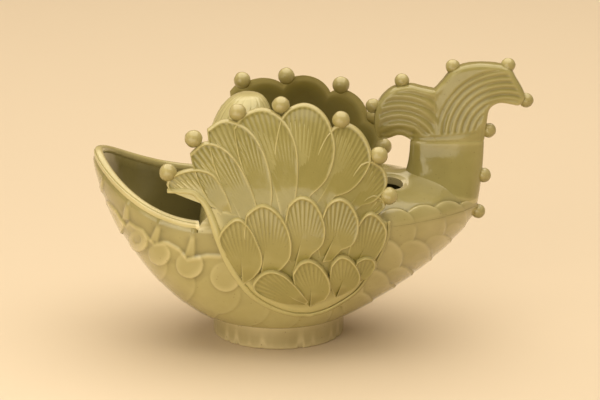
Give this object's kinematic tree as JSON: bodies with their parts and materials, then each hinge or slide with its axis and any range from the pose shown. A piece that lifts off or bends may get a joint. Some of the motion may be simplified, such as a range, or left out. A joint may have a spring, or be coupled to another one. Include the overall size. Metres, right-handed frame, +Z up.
{
  "type": "fish-shaped ewer",
  "caption": "Small glazed ceramic ewer shaped as a winged fish, with a boat-shaped open mouth for pouring, a filling hole in the back and a ring foot.",
  "frame": {"origin": "on the surface the vessel stands on, under the middle of its whole length and width", "axes": "+Z up, +X from the mouth towards the tail, +Y to the fish's right"},
  "size_m": [0.144, 0.0796, 0.0926],
  "materials": {
    "celadon_glaze": "glossy olive-green celadon glaze, paler where it runs thin over edges and darker where it pools",
    "bead_glaze": "glossy celadon glaze, thin and pale over small beads of clay",
    "foot_clay": "thin dull glaze over fired buff clay"
  },
  "bodies": {
    "root": {"foot_ring": "foot_clay", "body_bowl": "celadon_glaze", "mouth_lip": "celadon_glaze", "back_cover": "celadon_glaze", "hood": "celadon_glaze", "tail_stem": "celadon_glaze", "tail_lobe_front": "celadon_glaze", "tail_lobe_rear": "celadon_glaze", "wing_left": "celadon_glaze", "wing_right": "celadon_glaze", "tail_bead_1": "bead_glaze", "tail_bead_2": "bead_glaze", "tail_bead_3": "bead_glaze", "tail_bead_4": "bead_glaze", "tail_bead_5": "bead_glaze", "tail_bead_6": "bead_glaze", "tail_bead_7": "bead_glaze", "tail_bead_8": "bead_glaze", "wing_left_bead_1": "bead_glaze", "wing_left_bead_2": "bead_glaze", "wing_left_bead_3": "bead_glaze", "wing_left_bead_4": "bead_glaze", "wing_left_bead_5": "bead_glaze", "wing_left_bead_6": "bead_glaze", "wing_left_bead_7": "bead_glaze", "wing_right_bead_1": "bead_glaze", "wing_right_bead_2": "bead_glaze", "wing_right_bead_3": "bead_glaze", "wing_right_bead_4": "bead_glaze", "wing_right_bead_5": "bead_glaze", "wing_right_bead_6": "bead_glaze", "wing_right_bead_7": "bead_glaze"}
  },
  "joints": []
}
